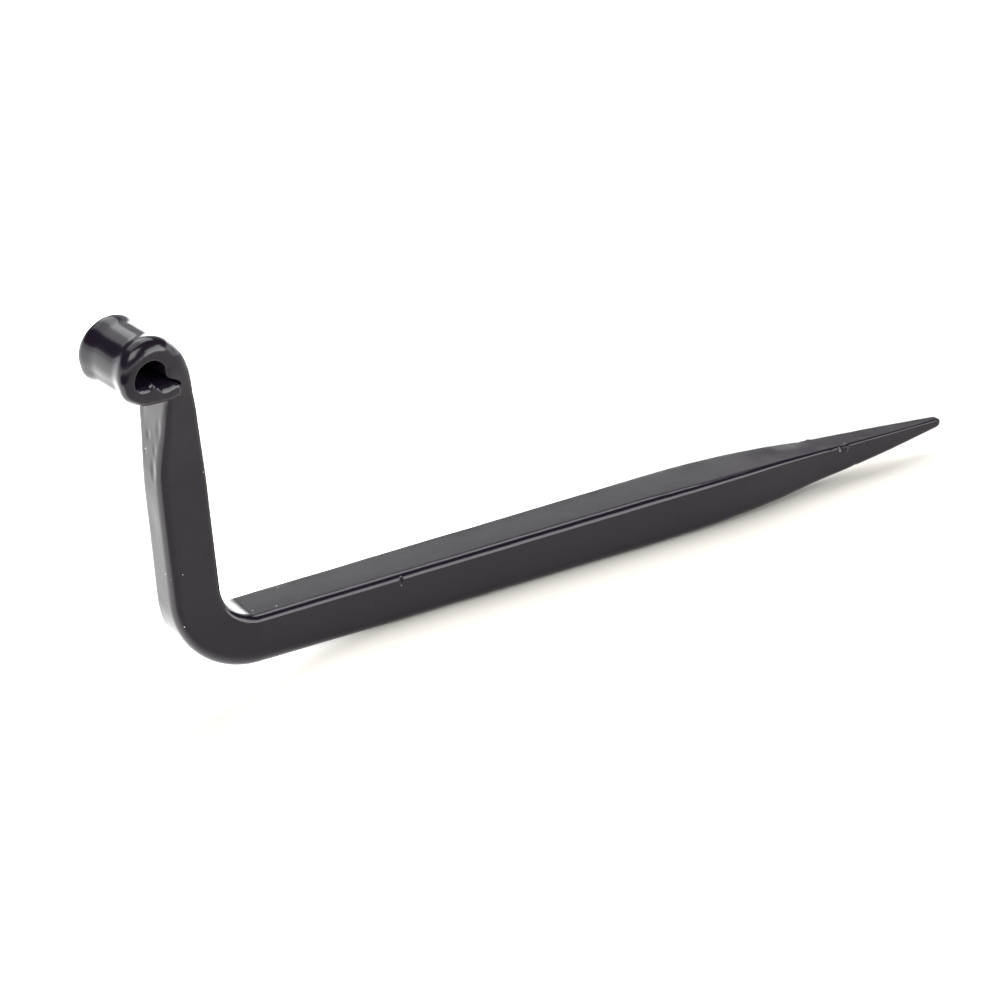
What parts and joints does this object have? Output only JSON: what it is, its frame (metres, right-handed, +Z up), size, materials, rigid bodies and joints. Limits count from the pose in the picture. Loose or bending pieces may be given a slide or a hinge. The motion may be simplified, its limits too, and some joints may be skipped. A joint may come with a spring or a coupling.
{
  "type": "drive-in hook",
  "caption": "Hand-forged L-shaped drive-in hook: square bar drawn to a spike, rounded corner, short leaning riser with its end rolled outward into an open eye, satin black coat.",
  "frame": {"origin": "under the middle of the hook's overall length, on the flat face that it lies on, in its plane of symmetry", "axes": "+X along the long leg towards the point, +Y across the bar along the axis of the eye, +Z up the riser"},
  "size_m": [0.147, 0.0116, 0.0592],
  "materials": {
    "black_coat": "satin to semi-gloss black coat over forged mild steel"
  },
  "bodies": {
    "root": {"spike_point": "black_coat", "shank": "black_coat", "corner_bend": "black_coat", "riser": "black_coat", "rolled_eye": "black_coat"}
  },
  "joints": []
}
